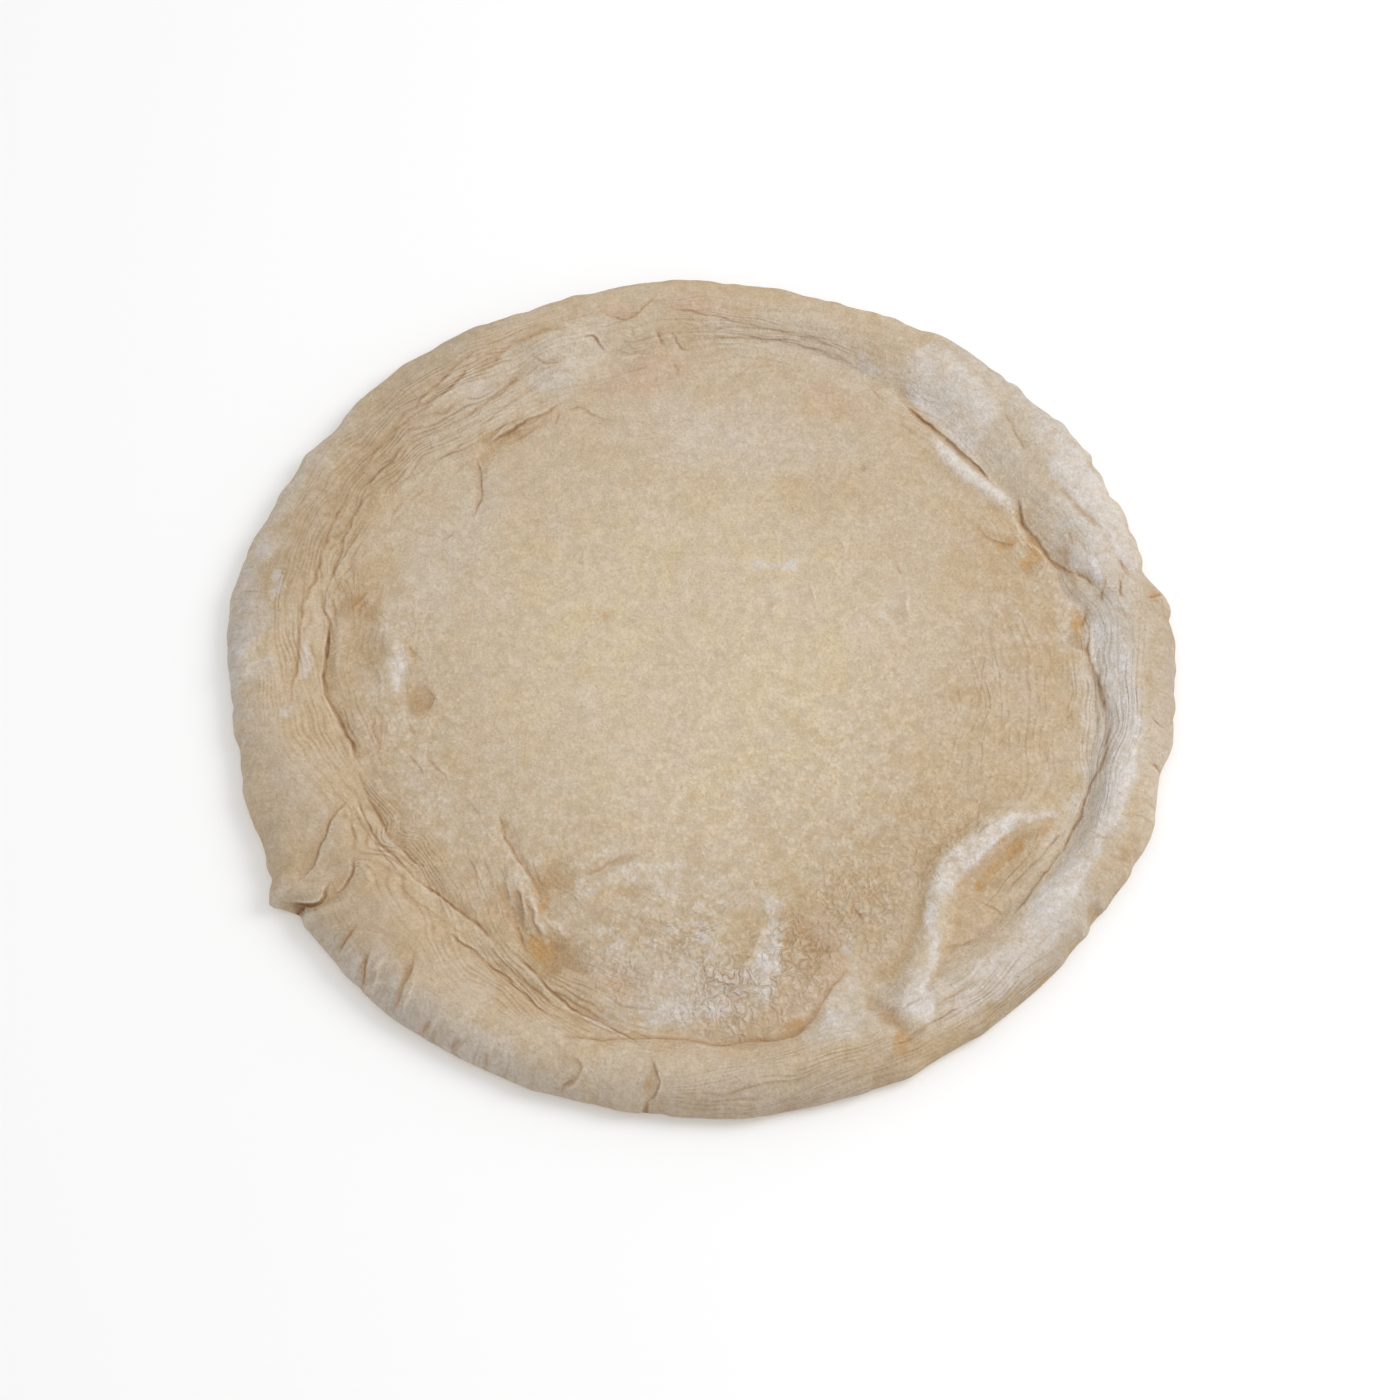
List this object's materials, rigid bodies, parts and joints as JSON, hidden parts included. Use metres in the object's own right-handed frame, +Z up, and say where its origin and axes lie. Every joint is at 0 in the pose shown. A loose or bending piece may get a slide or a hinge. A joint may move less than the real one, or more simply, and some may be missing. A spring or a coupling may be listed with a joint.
{
  "type": "pizza base",
  "caption": "Round par-baked pizza base: thin, nearly flat floor inside a soft raised rim with folds and creases, flat underneath.",
  "frame": {"origin": "middle of the outline, on the surface that the base lies on", "axes": "+Z up out of the topping side, -Y towards the side nearest the viewer in the picture, +X to its right"},
  "size_m": [0.3028, 0.3022, 0.0128],
  "materials": {
    "dough": "pale par-baked dough, matt, dusted with flour and lightly browned in the hollows"
  },
  "bodies": {
    "root": {"pizza_base": "dough"}
  },
  "joints": []
}
